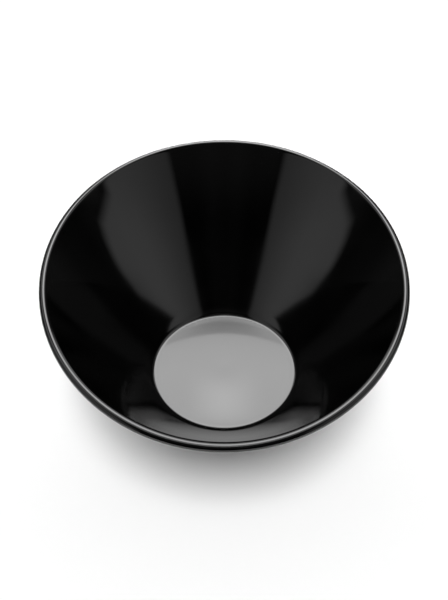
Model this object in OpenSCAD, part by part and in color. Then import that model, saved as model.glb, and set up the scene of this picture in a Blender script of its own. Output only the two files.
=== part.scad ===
// Serving bowl moulded in black melamine: a straight cone of a wall whose rim is low at the front and high at the
// back, on a foot that holds a grip ring. Millimetres, +Z up, front towards -Y. The origin is on the table, under
// the centre of the rim's outline, which is a true circle seen from above.

/* [Rim] */
// Diameter of the rim's outline, seen from above
rim_d = 200; // [175:1:225]
// How far the rim's centre lies behind the foot's centre, which is what makes the rim slant
rim_offset = 18.1; // [2:0.1:26]
// Radius of the rim's inner edge
rim_round_in = 2.8; // [1.5:0.1:4]
// Radius of the rim's outer edge
rim_round_out = 1.9; // [0.5:0.1:2.2]

/* [Wall and floor] */
// Slope of the wall, in degrees above level
wall_angle = 55; // [48:0.5:60]
// Thickness of the wall, square to its face
wall_t = 4.3; // [3.4:0.1:6]
// Diameter of the floor, out to the line of the wall
floor_d = 91.5; // [80:0.5:100]
// Thickness of the floor at its edge
floor_t = 3.7; // [3:0.1:5]
// How far the middle of the floor lies below its edge
floor_dish = 0.4; // [0.2:0.1:1.2]
// Radius between the floor and the wall
floor_round = 4; // [2.5:0.5:10]

/* [Foot] */
// Height of the foot, from its flat face to the floor's underside
foot_h = 3; // [2.5:0.5:6]
// Width of the foot's flat face, with the groove in it
foot_w = 9; // [7.5:0.5:12]
// Radius of the foot's edges and of the recess inside it
foot_round = 1.2; // [0.5:0.1:1.6]

/* [Grip ring] */
// Width of the groove that holds the grip ring
groove_w = 3.4; // [2.6:0.1:4.2]
// Depth of the groove
groove_depth = 2; // [1.4:0.1:2.4]
// Room on each side of the grip ring in its groove
ring_fit = 0.1; // [0.05:0.05:0.2]
// How far the grip ring stands out of the foot's flat face
ring_proud = 0.7; // [0.4:0.1:1.2]
// Radius of the grip ring's lower edges
ring_round = 0.5; // [0.3:0.1:0.8]

/* [Hidden] */
$fn = 180;

// Heights, from the table up
foot_z = ring_proud;
under_z = foot_z + foot_h;
floor_z = under_z + floor_t;
groove_z = foot_z + groove_depth;

// The wall, a straight cone about the foot's axis
floor_r = floor_d / 2;
wall_level = wall_t / sin(wall_angle);
function inner_r(z) = floor_r + (z - floor_z) / tan(wall_angle);
function outer_r(z) = inner_r(z) + wall_level;
floor_slope = atan(floor_dish / floor_r);

// The foot's flat face, from the wall's outer line inwards, with the groove in its middle
foot_r = outer_r(foot_z);
recess_r = foot_r - foot_w;
recess_edge = foot_round / 2;
ring_r = foot_r - foot_w / 2;

// The rim's path: its outline is a circle, so its reach from the foot's axis, and with it its height, grows backwards
rim_steps = 96;
rim_rise = rim_offset * tan(wall_angle) / (rim_d / 2);
function rim_reach(turn) = rim_offset * sin(turn) + sqrt(pow(rim_d / 2, 2) - pow(rim_offset * cos(turn), 2));

// The rim's top follows the rim's slant, so it leans towards the front. Its two edges share its width at each turn.
top_least = 0.02;
function lean(turn) = atan(rim_rise * sin(turn));
function top_w(turn) = wall_t / sin(wall_angle - lean(turn));
function edge_in(turn) = tan((wall_angle - lean(turn)) / 2);
function edge_share(turn) =
    min(1, (1 - top_least) * top_w(turn) / (rim_round_in * edge_in(turn) + rim_round_out / edge_in(turn)));
function round_in(turn) = rim_round_in * edge_share(turn);
function round_out(turn) = rim_round_out * edge_share(turn);

// The rim's section, measured outwards and upwards from where the inner wall's line meets the rim's top
lip_steps_in = 5;
lip_steps_out = 7;
function on_top(turn, along, below) =
    along * [cos(lean(turn)), sin(lean(turn))] + below * [sin(lean(turn)), -cos(lean(turn))];
function centre_in(turn) = on_top(turn, round_in(turn) * edge_in(turn), round_in(turn));
function centre_out(turn) = on_top(turn, top_w(turn) - round_out(turn) / edge_in(turn), round_out(turn));
function lip_inner(turn, k) =
    let (slope = wall_angle + (lean(turn) - wall_angle) * k / lip_steps_in)
        centre_in(turn) + round_in(turn) * [-sin(slope), cos(slope)];
function lip_outer(turn, k) =
    let (slope = lean(turn) + (wall_angle - 180 - lean(turn)) * k / lip_steps_out)
        centre_out(turn) + round_out(turn) * [-sin(slope), cos(slope)];
function lip_r(turn) = rim_reach(turn) - centre_out(turn).x - round_out(turn);
function lip_z(turn) = floor_z + (lip_r(turn) - floor_r) * tan(wall_angle);

// The wall is made too tall and then trimmed along the rim's path
trim_overrun = 2.5;
blank_z = lip_z(90) + top_w(90) * sin(lean(90)) + trim_overrun;
trim_z = blank_z + trim_overrun;
function past(from, to) = to + trim_overrun * (to - from) / norm(to - from);
function trim_inner(turn) = past(lip_inner(turn, 1), lip_inner(turn, 0));
function trim_outer(turn) = past(lip_outer(turn, lip_steps_out - 1), lip_outer(turn, lip_steps_out));
function raised(turn, p) = [p.x + (trim_z - lip_z(turn) - p.y) / tan(wall_angle), trim_z - lip_z(turn)];
function trim_section(turn) = [
    trim_inner(turn),
    for (k = [1 : lip_steps_in]) lip_inner(turn, k),
    for (k = [0 : lip_steps_out - 1]) lip_outer(turn, k),
    trim_outer(turn),
    raised(turn, trim_outer(turn)),
    raised(turn, trim_inner(turn))
];

// The patch between a corner and the arc of radius r that touches both its edges, which leave it at angles a and b.
// It reaches a little past the corner, so that it merges with what lies there, and its arc a hair past both edges,
// so that it crosses them.
corner_overlap = 0.3;
arc_overlap = 0.002;
module corner_patch(corner, a, b, r) {
    half = (b - a) / 2;
    middle = [cos(a + half), sin(a + half)];
    centre = corner + middle * r / sin(half);
    reach = r / tan(half);
    difference() {
        polygon([
            corner - corner_overlap * middle,
            corner + reach * [cos(a), sin(a)],
            centre,
            corner + reach * [cos(b), sin(b)]
        ]);
        translate(centre) circle(r + arc_overlap);
    }
}

// Half section of the bowl before its rim is trimmed
module bowl_section() {
    difference() {
        union() {
            polygon([
                [0, under_z],
                [recess_r, under_z],
                [recess_r, foot_z],
                [foot_r, foot_z],
                [outer_r(blank_z), blank_z],
                [inner_r(blank_z), blank_z],
                [floor_r, floor_z],
                [0, floor_z - floor_dish]
            ]);
            corner_patch([floor_r, floor_z], wall_angle, 180 + floor_slope, floor_round);
            corner_patch([recess_r, under_z], 180, 270, foot_round);
        }
        corner_patch([foot_r, foot_z], wall_angle, 180, foot_round);
        corner_patch([recess_r, foot_z], 0, 90, recess_edge);
        translate([ring_r - groove_w / 2, foot_z - groove_depth]) square([groove_w, 2 * groove_depth]);
    }
}

// What is trimmed off the wall, with the rounded rim as its lower side
module rim_trim() {
    turns = [for (i = [0 : rim_steps - 1]) 360 * i / rim_steps];
    count = len(trim_section(0));
    points = [
        for (turn = turns)
            for (p = trim_section(turn))
                let (r = lip_r(turn) + p.x)
                    [r * cos(turn), r * sin(turn), lip_z(turn) + p.y]
    ];
    function at(i, j) = (i % rim_steps) * count + j % count;
    faces = [
        for (i = [0 : rim_steps - 1])
            for (j = [0 : count - 1])
                for (half = [[at(i, j), at(i, j + 1), at(i + 1, j + 1)], [at(i, j), at(i + 1, j + 1), at(i + 1, j)]])
                    half
    ];
    polyhedron(points, faces);
}

module bowl() {
    color([0.02, 0.02, 0.022])
        translate([0, -rim_offset, 0])
            difference() {
                rotate_extrude() bowl_section();
                rim_trim();
            }
}

module grip_ring() {
    half_w = groove_w / 2 - ring_fit;
    color([0.07, 0.07, 0.075])
        translate([0, -rim_offset, 0])
            rotate_extrude()
                translate([ring_r, 0])
                    difference() {
                        translate([-half_w, 0]) square([2 * half_w, groove_z]);
                        corner_patch([-half_w, 0], 0, 90, ring_round);
                        corner_patch([half_w, 0], 90, 180, ring_round);
                    }
}

bowl();
grip_ring();
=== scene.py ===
import math

import bpy
from mathutils import Matrix
from mathutils.kdtree import KDTree


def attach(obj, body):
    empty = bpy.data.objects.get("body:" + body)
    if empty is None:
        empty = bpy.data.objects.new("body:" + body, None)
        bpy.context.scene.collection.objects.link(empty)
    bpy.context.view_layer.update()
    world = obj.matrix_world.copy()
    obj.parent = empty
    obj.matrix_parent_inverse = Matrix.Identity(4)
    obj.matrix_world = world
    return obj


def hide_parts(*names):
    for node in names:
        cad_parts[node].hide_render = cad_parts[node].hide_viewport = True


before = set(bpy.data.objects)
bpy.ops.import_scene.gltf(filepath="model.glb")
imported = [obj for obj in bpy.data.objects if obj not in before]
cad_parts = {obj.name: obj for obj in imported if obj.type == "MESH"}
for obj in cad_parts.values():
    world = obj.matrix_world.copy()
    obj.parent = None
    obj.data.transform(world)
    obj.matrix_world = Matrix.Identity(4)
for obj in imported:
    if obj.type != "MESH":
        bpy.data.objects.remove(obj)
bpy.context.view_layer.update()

# Sizes in millimetres, as in the CAD source. Only the rim's outline is a hair smaller, so that it stays
# inside the CAD's facets. The foot's axis stands RIM_OFFSET in front of the origin.
MM = 0.001
RIM_D = 199.96
RIM_OFFSET = 18.1
RIM_ROUND_IN = 2.8
RIM_ROUND_OUT = 1.9
TOP_LEAST = 0.02
WALL = math.radians(55.0)
WALL_T = 4.3
FLOOR_D = 91.5
FLOOR_T = 3.7
FLOOR_DISH = 0.4
FLOOR_ROUND = 4.0
FOOT_H = 3.0
FOOT_W = 9.0
FOOT_ROUND = 1.2
GROOVE_W = 3.4
GROOVE_DEPTH = 2.0
RING_FIT = 0.1
RING_PROUD = 0.7
RING_ROUND = 0.5

# Heights above the table, and distances from the foot's axis
foot_z = RING_PROUD
under_z = foot_z + FOOT_H
floor_z = under_z + FLOOR_T
groove_z = foot_z + GROOVE_DEPTH
floor_r = FLOOR_D / 2
wall_level = WALL_T / math.sin(WALL)
foot_r = floor_r + (foot_z - floor_z) / math.tan(WALL) + wall_level
recess_r = foot_r - FOOT_W
ring_r = foot_r - FOOT_W / 2

# Directions in the section plane, as steps outwards and upwards
UP_WALL = (math.cos(WALL), math.sin(WALL))
DOWN_WALL = (-math.cos(WALL), -math.sin(WALL))
IN = (-1.0, 0.0)
OUT = (1.0, 0.0)
HIGHER = (0.0, 1.0)
LOWER = (0.0, -1.0)

# How finely the pieces are spun and their edges rounded, and where points lie along the floor and the wall
TURN_STEPS = 256
FLOOR_STEPS = 16
LIP_STEPS = 14
FOOT_STEPS = 6
RECESS_EDGE_STEPS = 4
RECESS_CORNER_STEPS = 5
RING_STEPS = 5
FLOOR_SHARES = (0.06, 0.2, 0.4, 0.6, 0.8, 0.93, 0.98)
WALL_SHARES = (0.01, 0.03, 0.08, 0.2, 0.35, 0.5, 0.65, 0.8, 0.92, 0.97, 0.99)
SMOOTH_BELOW = math.radians(28)
SAME_POINT = 1e-6


def arc(corner, a, b, radius, steps):
    """Points of the arc that touches both edges leaving a corner in the directions a and b, from a to b."""
    half = math.acos(max(-1.0, min(1.0, a[0] * b[0] + a[1] * b[1]))) / 2
    middle = (a[0] + b[0], a[1] + b[1])
    length = math.hypot(*middle)
    centre = [corner[i] + middle[i] / length * radius / math.sin(half) for i in (0, 1)]
    first = [corner[i] + a[i] * radius / math.tan(half) - centre[i] for i in (0, 1)]
    sweep = math.pi - 2 * half
    way = 1 if a[0] * b[1] - a[1] * b[0] < 0 else -1
    points = []
    for k in range(steps + 1):
        s = math.sin(way * sweep * k / steps)
        c = math.cos(way * sweep * k / steps)
        points.append((centre[0] + first[0] * c - first[1] * s, centre[1] + first[0] * s + first[1] * c))
    return points


def between(p, q, shares):
    """Points on the line from p to q, at shares of its length."""
    return [(p[0] + (q[0] - p[0]) * s, p[1] + (q[1] - p[1]) * s) for s in shares]


def start_profile(name, point):
    """A new object in edit mode, with one vertex at a point of the section over +X of the foot's axis."""
    bpy.ops.object.select_all(action="DESELECT")
    bpy.ops.mesh.primitive_plane_add(size=0.01, location=(0, 0, 0))
    piece = bpy.context.object
    piece.name = name
    piece.data.name = name
    bpy.ops.object.mode_set(mode="EDIT")
    bpy.ops.mesh.select_mode(type="VERT")
    bpy.ops.mesh.select_all(action="SELECT")
    bpy.ops.mesh.merge(type="CENTER")
    bpy.ops.mesh.select_all(action="SELECT")
    bpy.ops.transform.translate(value=(point[0] * MM, -RIM_OFFSET * MM, point[1] * MM))
    return piece


def spun_profile(name, points, closed=False):
    """Draws a section by extruding its points one after another, and spins it about the foot's axis."""
    piece = start_profile(name, points[0])
    path = points + [points[0]] if closed else points
    for p, q in zip(path, path[1:]):
        step = ((q[0] - p[0]) * MM, 0, (q[1] - p[1]) * MM)
        bpy.ops.mesh.extrude_region_move(TRANSFORM_OT_translate={"value": step})
    axis_foot = (0, -RIM_OFFSET * MM, 0)
    bpy.ops.mesh.select_all(action="SELECT")
    bpy.ops.mesh.spin(steps=TURN_STEPS, angle=2 * math.pi, center=axis_foot, axis=(0, 0, 1))
    bpy.ops.mesh.select_all(action="SELECT")
    bpy.ops.mesh.remove_doubles(threshold=SAME_POINT)
    bpy.ops.mesh.normals_make_consistent(inside=False)
    bpy.ops.object.mode_set(mode="OBJECT")
    return piece


# The rounded corners of the floor and the foot, which are the same all round
floor_slope = math.atan(FLOOR_DISH / floor_r)
TO_MIDDLE = (-math.cos(floor_slope), -math.sin(floor_slope))
floor_arc = arc((floor_r, floor_z), TO_MIDDLE, UP_WALL, FLOOR_ROUND, FLOOR_STEPS)
foot_edge = arc((foot_r, foot_z), UP_WALL, IN, FOOT_ROUND, FOOT_STEPS)
recess_edge = arc((recess_r, foot_z), OUT, HIGHER, FOOT_ROUND / 2, RECESS_EDGE_STEPS)
recess_corner = arc((recess_r, under_z), LOWER, IN, FOOT_ROUND, RECESS_CORNER_STEPS)


def bowl_section(turn):
    """The bowl's section at a turn about the foot's axis.

    The rim's outline is a circle about the origin, so the wall grows towards the back, and the rim's top
    leans towards the front.
    """
    lean = math.atan(RIM_OFFSET * math.tan(WALL) / (RIM_D / 2) * math.sin(turn))
    along = (math.cos(lean), math.sin(lean))
    back_along = (-along[0], -along[1])
    top_w = WALL_T / math.sin(WALL - lean)
    edge_in = math.tan((WALL - lean) / 2)
    share = min(1.0, (1 - TOP_LEAST) * top_w / (RIM_ROUND_IN * edge_in + RIM_ROUND_OUT / edge_in))
    round_in = RIM_ROUND_IN * share
    round_out = RIM_ROUND_OUT * share
    lip_reach = (top_w - round_out / edge_in) * along[0] + round_out * (1 + along[1])
    across = math.sqrt((RIM_D / 2) ** 2 - (RIM_OFFSET * math.cos(turn)) ** 2)
    lip_r = RIM_OFFSET * math.sin(turn) + across - lip_reach
    lip = (lip_r, floor_z + (lip_r - floor_r) * math.tan(WALL))
    outer_lip = (lip[0] + top_w * along[0], lip[1] + top_w * along[1])
    lip_inner = arc(lip, DOWN_WALL, along, round_in, LIP_STEPS)
    lip_outer = arc(outer_lip, back_along, DOWN_WALL, round_out, LIP_STEPS)
    points = [(0.0, floor_z - FLOOR_DISH)]
    points += between(points[0], floor_arc[0], FLOOR_SHARES) + floor_arc
    points += between(floor_arc[-1], lip_inner[0], WALL_SHARES) + lip_inner + lip_outer
    points += between(lip_outer[-1], foot_edge[0], WALL_SHARES) + foot_edge
    points += [(ring_r + GROOVE_W / 2, foot_z), (ring_r + GROOVE_W / 2, groove_z)]
    points += [(ring_r - GROOVE_W / 2, groove_z), (ring_r - GROOVE_W / 2, foot_z)]
    return points + recess_edge + recess_corner + [(recess_r * 0.5, under_z), (0.0, under_z)]


# The bowl is spun from its section at the side, and each of its points then slides to its place at its turn
blank = bowl_section(0.0)
bowl = spun_profile("bowl_moulding", blank)
finder = KDTree(len(blank))
for i, (r, z) in enumerate(blank):
    finder.insert((r, z, 0), i)
finder.balance()
sections = [bowl_section(2 * math.pi * k / TURN_STEPS) for k in range(TURN_STEPS)]
for vertex in bowl.data.vertices:
    x = vertex.co.x / MM
    y = vertex.co.y / MM + RIM_OFFSET
    step = round(math.atan2(y, x) / (2 * math.pi) * TURN_STEPS) % TURN_STEPS
    r, z = sections[step][finder.find((math.hypot(x, y), vertex.co.z / MM, 0))[1]]
    turn = 2 * math.pi * step / TURN_STEPS
    vertex.co = (r * math.cos(turn) * MM, (r * math.sin(turn) - RIM_OFFSET) * MM, z * MM)

# The grip ring in the foot's groove
half_w = GROOVE_W / 2 - RING_FIT
ring_section = arc((ring_r - half_w, 0.0), HIGHER, OUT, RING_ROUND, RING_STEPS)
ring_section += arc((ring_r + half_w, 0.0), IN, HIGHER, RING_ROUND, RING_STEPS)
ring_section += [(ring_r + half_w, groove_z), (ring_r - half_w, groove_z)]
grip_ring = spun_profile("grip_ring_rubber", ring_section, closed=True)

for piece in (bowl, grip_ring):
    bpy.ops.object.select_all(action="DESELECT")
    piece.select_set(True)
    bpy.context.view_layer.objects.active = piece
    bpy.ops.object.shade_smooth_by_angle(angle=SMOOTH_BELOW)

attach(bowl, "root")
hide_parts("bowl")
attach(grip_ring, "root")
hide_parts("grip_ring")


class Nodes:
    """Adds nodes to a tree. What goes into a socket is a plain value or another node's output."""

    def __init__(self, tree):
        self.tree = tree

    def new(self, kind, **settings):
        node = self.tree.nodes.new(kind)
        for key, value in settings.items():
            setattr(node, key, value)
        return node

    def put(self, socket, value):
        if isinstance(value, bpy.types.NodeSocket):
            self.tree.links.new(value, socket)
        else:
            socket.default_value = value

    def math(self, operation, a, b=None):
        node = self.new("ShaderNodeMath", operation=operation)
        self.put(node.inputs[0], a)
        if b is not None:
            self.put(node.inputs[1], b)
        return node.outputs[0]

    def plus(self, a, b):
        return self.math("ADD", a, b)

    def minus(self, a, b):
        return self.math("SUBTRACT", a, b)

    def larger(self, a, b):
        return self.math("MAXIMUM", a, b)

    def times(self, *values):
        total = values[0]
        for value in values[1:]:
            total = self.math("MULTIPLY", total, value)
        return total

    def ranged(self, value, low, high, start=0.0, end=1.0, kind="SMOOTHSTEP"):
        """Runs from start to end as the value runs from low to high."""
        node = self.new("ShaderNodeMapRange", interpolation_type=kind)
        for socket, v in zip(node.inputs, (value, low, high, start, end)):
            self.put(socket, v)
        return node.outputs[0]

    def window(self, value, low, high, soft):
        """One between low and high, and zero outside, with soft ends."""
        rise = self.ranged(value, low - soft, low + soft)
        return self.times(rise, self.ranged(value, high - soft, high + soft, 1, 0))

    def curve(self, value, high, top, stops):
        """Runs through the stops, (position, value), for positions from 0 to high and values up to top."""
        node = self.new("ShaderNodeValToRGB")
        self.put(node.inputs[0], self.math("DIVIDE", value, high))
        elements = node.color_ramp.elements
        while len(elements) < len(stops):
            elements.new(0.5)
        for element, (position, v) in zip(elements, stops):
            element.position = position / high
            element.color = (v / top, v / top, v / top, 1)
        return self.times(node.outputs[0], top)

    def mix(self, factor, a, b):
        node = self.new("ShaderNodeMix", data_type="FLOAT")
        for socket, v in zip((node.inputs[0], node.inputs[2], node.inputs[3]), (factor, a, b)):
            self.put(socket, v)
        return node.outputs[0]

    def two_tones(self, factor, a, b):
        node = self.new("ShaderNodeMix", data_type="RGBA")
        self.put(node.inputs[0], factor)
        node.inputs[6].default_value = (*a, 1)
        node.inputs[7].default_value = (*b, 1)
        return node.outputs[2]

    def split(self, vector):
        node = self.new("ShaderNodeSeparateXYZ")
        self.put(node.inputs[0], vector)
        return node.outputs

    def noise(self, vector, scale, detail, distortion=0.0):
        node = self.new("ShaderNodeTexNoise")
        self.put(node.inputs["Vector"], vector)
        node.inputs["Scale"].default_value = scale
        node.inputs["Detail"].default_value = detail
        node.inputs["Distortion"].default_value = distortion
        return node.outputs[0]

    def noise_along(self, value, scale, detail):
        node = self.new("ShaderNodeTexNoise", noise_dimensions="1D")
        self.put(node.inputs["W"], value)
        node.inputs["Scale"].default_value = scale
        node.inputs["Detail"].default_value = detail
        return node.outputs[0]

    def bump(self, height, strength, distance, normal=None):
        node = self.new("ShaderNodeBump")
        node.inputs["Strength"].default_value = strength
        node.inputs["Distance"].default_value = distance
        self.put(node.inputs["Height"], height)
        if normal is not None:
            self.put(node.inputs["Normal"], normal)
        return node.outputs[0]

    def from_foot_axis(self, x, y):
        """The distance of a place from the foot's axis."""
        y = self.plus(y, RIM_OFFSET * MM)
        return self.math("SQRT", self.plus(self.times(x, x), self.times(y, y)))


def new_group(name, outputs):
    """A node group that takes a place on the piece and puts out values."""
    tree = bpy.data.node_groups.new(name, "ShaderNodeTree")
    tree.interface.new_socket("Position", in_out="INPUT", socket_type="NodeSocketVector")
    for label in outputs:
        tree.interface.new_socket(label, in_out="OUTPUT", socket_type="NodeSocketFloat")
    n = Nodes(tree)
    return n, n.new("NodeGroupInput").outputs["Position"], n.new("NodeGroupOutput").inputs


def use_group(nodes, name, position):
    node = nodes.new("ShaderNodeGroup")
    node.node_tree = bpy.data.node_groups[name]
    nodes.put(node.inputs["Position"], position)
    return node.outputs


def new_material(name):
    material = bpy.data.materials.new(name)
    material.use_nodes = True
    nodes = Nodes(material.node_tree)
    position = nodes.new("ShaderNodeTexCoord").outputs["Object"]
    return material, nodes, position, material.node_tree.nodes["Principled BSDF"].inputs


def bare_material(name):
    """A material without nodes, for what stands around the bowl."""
    material = bpy.data.materials.new(name)
    material.use_nodes = True
    material.node_tree.nodes.clear()
    return material, Nodes(material.node_tree)


# Concentric marks that polishing left in the mould, about the foot's axis: a height and a share of haze
n, position, result = new_group("polishing_marks", ("Height", "Haze"))
x, y, z = n.split(position)
rings = n.noise_along(n.plus(n.from_foot_axis(x, y), n.times(z, 0.6)), 1750.0, 2.0)
patches = n.noise(position, 47.0, 3.0)
n.put(result["Height"], n.times(rings, n.ranged(patches, 0.3, 0.7, 0.5, 1.0)))
n.put(result["Haze"], n.ranged(n.times(rings, patches), 0.12, 0.42))

# The lower wall's inner face: a height in metres, by which it eases into the floor in two soft bends, and a
# mask of the finish that use has dulled, whole on the lower wall and fainter on the floor
WALL_START = 0.0017
n, position, result = new_group("lower_wall", ("Height", "Dull"))
x, y, z = n.split(position)
above = n.minus(z, floor_z * MM)
wide = n.ranged(above, WALL_START, 0.0344, 1.0, 0.0, "LINEAR")
tight = n.ranged(above, WALL_START, 0.0066, 1.0, 0.0, "LINEAR")
ease = n.plus(n.times(wide, wide, 0.0014), n.times(tight, tight, 0.0003))
beyond = n.minus(n.from_foot_axis(x, y), floor_r * MM)
depth = n.minus(beyond, n.times(above, 1 / math.tan(WALL)))
inner_face = n.ranged(depth, 0.001, 0.003, 1.0, 0.0)
dull = n.times(n.ranged(above, 0.0005, 0.003, 0.35, 1.0), n.ranged(above, 0.036, 0.06, 1.0, 0.0))
n.put(result["Height"], n.times(ease, inner_face))
n.put(result["Dull"], n.times(dull, inner_face))

# Faint rub marks and dust, shared by both materials
n, position, result = new_group("handling_marks", ("Mask",))
rubs = n.noise(position, 30.0, 6.0, 0.6)
specks = n.new("ShaderNodeTexVoronoi", feature="F1")
n.put(specks.inputs["Vector"], position)
specks.inputs["Scale"].default_value = 300.0
rub_mask = n.ranged(rubs, 0.45, 0.75, 0.0, 0.8)
speck_mask = n.ranged(specks.outputs[0], 0.03, 0.1, 0.3, 0.0)
n.put(result["Mask"], n.math("MINIMUM", n.plus(rub_mask, speck_mask), 1.0))

# Black melamine, which mirrors what stands around it
BLACK = (0.0002, 0.0002, 0.0002)
BLACK_RUBBED = (0.0006, 0.0006, 0.0006)
melamine, n, position, shader = new_material("melamine_black")
polish = use_group(n, "polishing_marks", position)
handling = use_group(n, "handling_marks", position)
lower_wall = use_group(n, "lower_wall", position)
n.put(shader["Base Color"], n.two_tones(handling["Mask"], BLACK, BLACK_RUBBED))
shader["IOR"].default_value = 1.6
haze = n.plus(n.ranged(polish["Haze"], 0, 1, 0.035, 0.055), n.times(handling["Mask"], 0.012))
n.put(shader["Roughness"], n.plus(haze, n.times(lower_wall["Dull"], 0.075)))
eased = n.bump(lower_wall["Height"], 1.0, 1.0)
n.put(shader["Normal"], n.bump(polish["Height"], 0.02, 0.00008, eased))
bowl.data.materials.append(melamine)

# Dull rubber with a fine grain
RUBBER_DARK = (0.033, 0.033, 0.035)
RUBBER_RUBBED = (0.050, 0.049, 0.048)
rubber, n, position, shader = new_material("grip_rubber")
handling = use_group(n, "handling_marks", position)
grain = n.noise(position, 1800.0, 3.0)
n.put(shader["Base Color"], n.two_tones(handling["Mask"], RUBBER_DARK, RUBBER_RUBBED))
shader["IOR"].default_value = 1.5
n.put(shader["Roughness"], n.plus(n.ranged(grain, 0.3, 0.7, 0.68, 0.86), n.times(handling["Mask"], 0.06)))
n.put(shader["Normal"], n.bump(grain, 0.35, 0.0002))
grip_ring.data.materials.append(rubber)

# The white table, which keeps the bowl's shadow and is seen through from below
TABLE_SIZE = 6
TABLE_WHITE = (0.92, 0.92, 0.92, 1)
bpy.ops.object.select_all(action="DESELECT")
bpy.ops.mesh.primitive_plane_add(size=TABLE_SIZE, location=(0, 0, 0))
table = bpy.context.object
table.name = "table"
table_white, n = bare_material("table_white")
diffuse = n.new("ShaderNodeBsdfDiffuse")
diffuse.inputs["Color"].default_value = TABLE_WHITE
one_sided = n.new("ShaderNodeMixShader")
n.put(one_sided.inputs[0], n.new("ShaderNodeNewGeometry").outputs["Backfacing"])
n.put(one_sided.inputs[1], diffuse.outputs[0])
n.put(one_sided.inputs[2], n.new("ShaderNodeBsdfTransparent").outputs[0])
n.put(n.new("ShaderNodeOutputMaterial").inputs[0], one_sided.outputs[0])
table.data.materials.append(table_white)

# The softbox above and behind the bowl, which shows only in reflections. Its light changes from its front to
# its back, and it has a brighter spot near its middle.
BOX_Z = 1.6
BOX_FRONT = 0.465
BOX_BACK = 2.06
BOX_SIDE = 0.425
BOX_SPARE = 0.4
BOX_LIGHT = [(0.45, 7.4), (0.57, 6.9), (0.7, 5.6), (0.79, 5.2), (0.87, 5.8), (0.97, 6.3), (1.08, 6.3)]
BOX_LIGHT += [(1.2, 6.3), (1.32, 5.9), (1.42, 5.3), (1.58, 4.9), (1.74, 4.0), (1.9, 3.1), (2.1, 2.6)]
bpy.ops.object.select_all(action="DESELECT")
bpy.ops.mesh.primitive_plane_add(size=1, location=(0, 0, 0))
softbox = bpy.context.object
softbox.name = "softbox"
bpy.ops.object.mode_set(mode="EDIT")
bpy.ops.mesh.select_all(action="SELECT")
bpy.ops.transform.resize(value=(2 * BOX_SIDE + BOX_SPARE, BOX_BACK - BOX_FRONT + BOX_SPARE, 1))
bpy.ops.transform.translate(value=(0, (BOX_FRONT + BOX_BACK) / 2, BOX_Z))
bpy.ops.object.mode_set(mode="OBJECT")
softbox_white, n = bare_material("softbox_white")
x, y, z = n.split(n.new("ShaderNodeTexCoord").outputs["Object"])
face = n.times(n.window(x, -BOX_SIDE, BOX_SIDE, 0.11), n.window(y, BOX_FRONT, BOX_BACK, 0.1))
spot = n.times(n.window(x, -0.1, 0.1, 0.1), n.window(y, 0.94, 1.16, 0.08), 1.4)
glow = n.new("ShaderNodeEmission")
n.put(glow.inputs["Strength"], n.times(face, n.plus(n.curve(y, 2.2, 8.0, BOX_LIGHT), spot)))
n.put(n.new("ShaderNodeOutputMaterial").inputs[0], glow.outputs[0])
softbox.data.materials.append(softbox_white)
softbox.visible_camera = False
softbox.visible_diffuse = False
softbox.visible_shadow = False
softbox.visible_transmission = False
softbox.visible_volume_scatter = False

# The room. Angles are in degrees: el above level, and az from the front, to the left or to the right.
world = bpy.data.worlds.new("studio")
bpy.context.scene.world = world
world.use_nodes = True
n = Nodes(world.node_tree)
n.tree.nodes.clear()
x, y, z = n.split(n.new("ShaderNodeTexCoord").outputs["Generated"])
el = n.times(n.math("ARCSINE", z), 180 / math.pi)
az = n.times(n.math("ARCTAN2", n.math("ABSOLUTE", x), n.times(y, -1.0)), 180 / math.pi)
to_left = n.math("LESS_THAN", x, 0.0)

# Two white panels at the front corners, for reflections: their edges, and their light across and upwards
PANEL_START = [(0, 33.5), (38, 33.5), (45, 35), (50, 44), (60, 47)]
PANEL_END = [(0, 89), (18, 90.5), (20, 92.5), (22.5, 92), (25.6, 90.5), (28.8, 88), (32, 82), (35, 76.5)]
PANEL_END += [(60, 74)]
PANEL_ACROSS = [(36, 0.45), (45, 0.55), (55, 0.68), (65, 0.78), (75, 0.79), (93, 0.69)]
PANEL_UPWARDS = [(0, 0.5), (17.5, 0.6), (19.5, 0.84), (21, 0.97), (24, 1), (31, 0.96), (38, 0.82)]
PANEL_UPWARDS += [(46, 0.8), (54, 0.95)]
LEFT_START_SHIFT = 3.0
LEFT_END_SHIFT = 1.2
PANEL_SOFT = 3
start_az = n.minus(az, n.times(to_left, LEFT_START_SHIFT))
end_az = n.minus(az, n.times(to_left, LEFT_END_SHIFT))
past_start = n.minus(start_az, n.curve(el, 90, 100, PANEL_START))
past_end = n.minus(end_az, n.curve(el, 90, 100, PANEL_END))
panels = n.ranged(past_start, -PANEL_SOFT, PANEL_SOFT)
panels = n.times(panels, n.ranged(past_end, -PANEL_SOFT, PANEL_SOFT, 1, 0))
panels = n.times(panels, n.curve(az, 180, 1, PANEL_ACROSS), n.curve(el, 90, 1, PANEL_UPWARDS))
panels = n.times(panels, n.ranged(el, 57, 65, 1, 0))

# The dark studio round them, for reflections: faint greys, a lighter wall behind the bowl and a ceiling
DARK_AROUND = [(0, 0.012), (10, 0.02), (20, 0.004), (34, 0.01), (80, 0.02), (90, 0.05), (100, 0.02)]
DARK_AROUND += [(113, 0.03), (126, 0.075), (140, 0.05), (148, 0.1), (180, 0.1)]
BEHIND_UPWARDS = [(0, 1), (20, 1.1), (25, 1.5), (31, 2.3), (36, 3), (45, 3)]
front_glow = n.times(n.ranged(el, 36, 47, 0.0, 0.06), n.ranged(az, 32, 44, 1, 0))
side_glow = n.times(n.ranged(el, 30, 40, 0.0, 0.22), n.ranged(az, 76, 86), n.ranged(az, 98, 110, 1, 0))
dark = n.plus(n.curve(az, 180, 1, DARK_AROUND), n.plus(front_glow, side_glow))
behind = n.times(n.ranged(az, 146, 158), n.curve(el, 90, 4, BEHIND_UPWARDS))
ceiling = n.times(n.ranged(el, 38, 52, 0.0, 1.3), n.ranged(az, 72, 95))
mirrored = n.larger(n.larger(panels, dark), n.larger(behind, ceiling))

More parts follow.
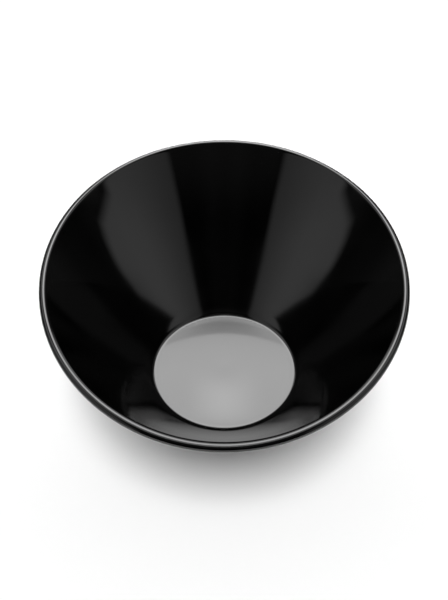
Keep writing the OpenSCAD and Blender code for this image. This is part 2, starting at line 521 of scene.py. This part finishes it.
# The light on diffuse surfaces: a key light overhead, a low light round the back and the sides, a faint light
# from the front, and an even light
EVEN_LIGHT = 0.2
up = n.larger(z, 0.02)
u = n.math("DIVIDE", x, up)
v = n.math("DIVIDE", y, up)
key = n.times(n.window(u, -0.16, 0.16, 0.1), n.window(v, -0.5, 0.1, 0.1), n.ranged(z, 0.0, 0.1), 15.5)
low_light = n.times(n.ranged(az, 87, 103), n.ranged(el, 22, 38, 1, 0), 3.85)
front_light = n.times(n.ranged(az, 20, 40, 1, 0), n.ranged(el, 47, 63, 1, 0), 0.75)
lighting = n.plus(n.plus(key, low_light), n.plus(front_light, EVEN_LIGHT))

# The camera itself sees white, which the default film exposure of 0.8 makes of this strength
SEEN_WHITE = 1.25
path = n.new("ShaderNodeLightPath").outputs
on_surfaces = n.mix(path["Is Glossy Ray"], lighting, mirrored)
background = n.new("ShaderNodeBackground")
n.put(background.inputs["Strength"], n.mix(path["Is Camera Ray"], on_surfaces, SEEN_WHITE))
n.put(n.new("ShaderNodeOutputWorld").inputs[0], background.outputs[0])
world.cycles.sampling_method = "MANUAL"
world.cycles.sample_map_resolution = 1024

# The camera, at the photograph's viewing angle: it looks at the bowl from in front and above
LENS = 25.270
SENSOR = 36
DISTANCE = 0.27323
ELEVATION = math.radians(51.743)
TILT = math.radians(42.925)
ROLL = math.radians(-0.015)
CAMERA_X = -0.00019
scene = bpy.context.scene
scene.view_settings.view_transform = "Standard"
camera = bpy.data.objects.new("camera", bpy.data.cameras.new("camera"))
scene.collection.objects.link(camera)
scene.camera = camera
camera.data.sensor_width = SENSOR
camera.data.lens = LENS
camera.data.clip_start = 0.001
camera_y = -RIM_OFFSET * MM - DISTANCE * math.cos(ELEVATION)
camera_z = floor_z * MM + DISTANCE * math.sin(ELEVATION)
camera.location = (CAMERA_X, camera_y, camera_z)
looking = Matrix.Rotation(math.pi / 2 - TILT, 3, "X") @ Matrix.Rotation(ROLL, 3, "Z")
camera.rotation_euler = looking.to_euler()
